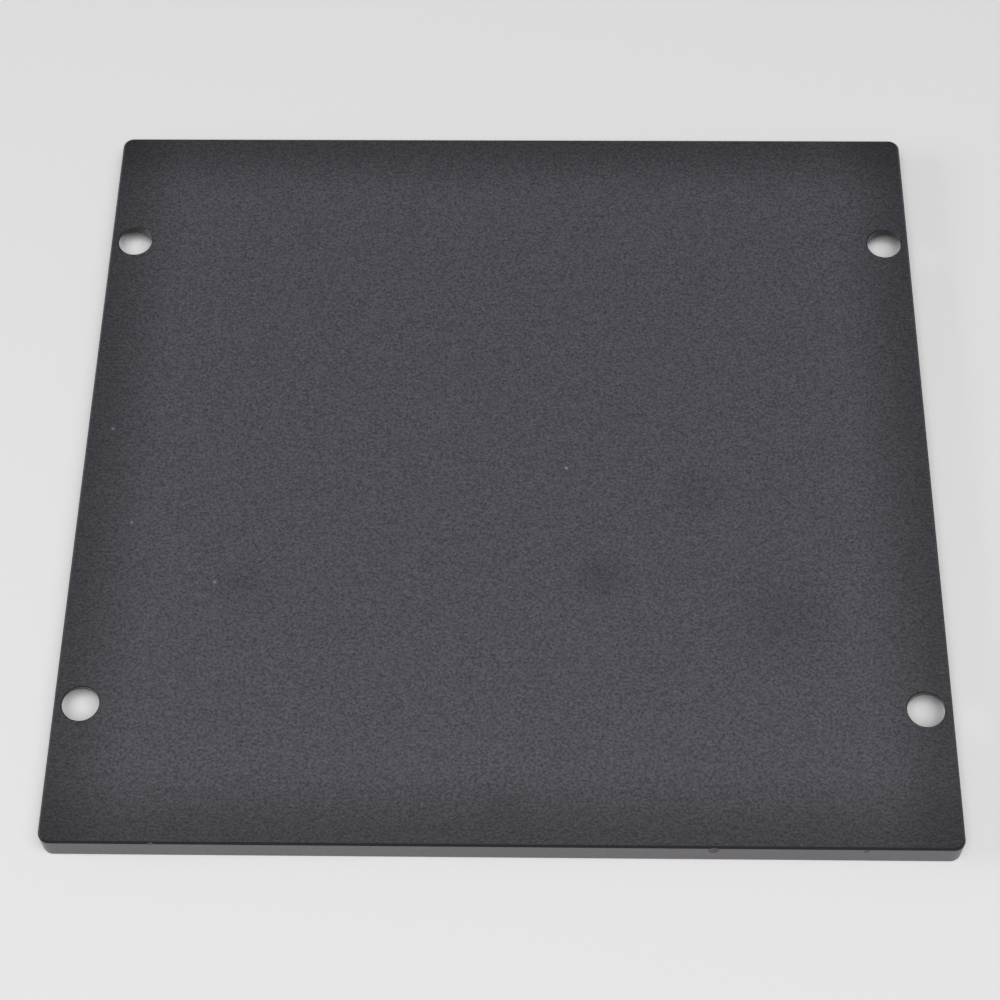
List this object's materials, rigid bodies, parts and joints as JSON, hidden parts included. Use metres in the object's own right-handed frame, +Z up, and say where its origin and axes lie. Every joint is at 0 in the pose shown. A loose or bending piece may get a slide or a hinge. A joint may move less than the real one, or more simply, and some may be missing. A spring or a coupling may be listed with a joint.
{
  "type": "rectangular cover plate",
  "caption": "Flat rectangular cover plate with small corner radii and an M4 clearance hole near each corner, relieved from the underside by a cone-shaped countersink that runs out through the side edge.",
  "frame": {"origin": "middle of the plate's outline, on the plane of its underside", "axes": "+Z up through the thickness, from the countersunk underside to the plain face; +X along the longer side; +Y along the shorter side, towards the back edge"},
  "size_m": [0.1, 0.097, 0.0034],
  "materials": {
    "coating": "fine-textured matt black coating on aluminium sheet"
  },
  "bodies": {
    "root": {"cover_plate": "coating"}
  },
  "joints": []
}
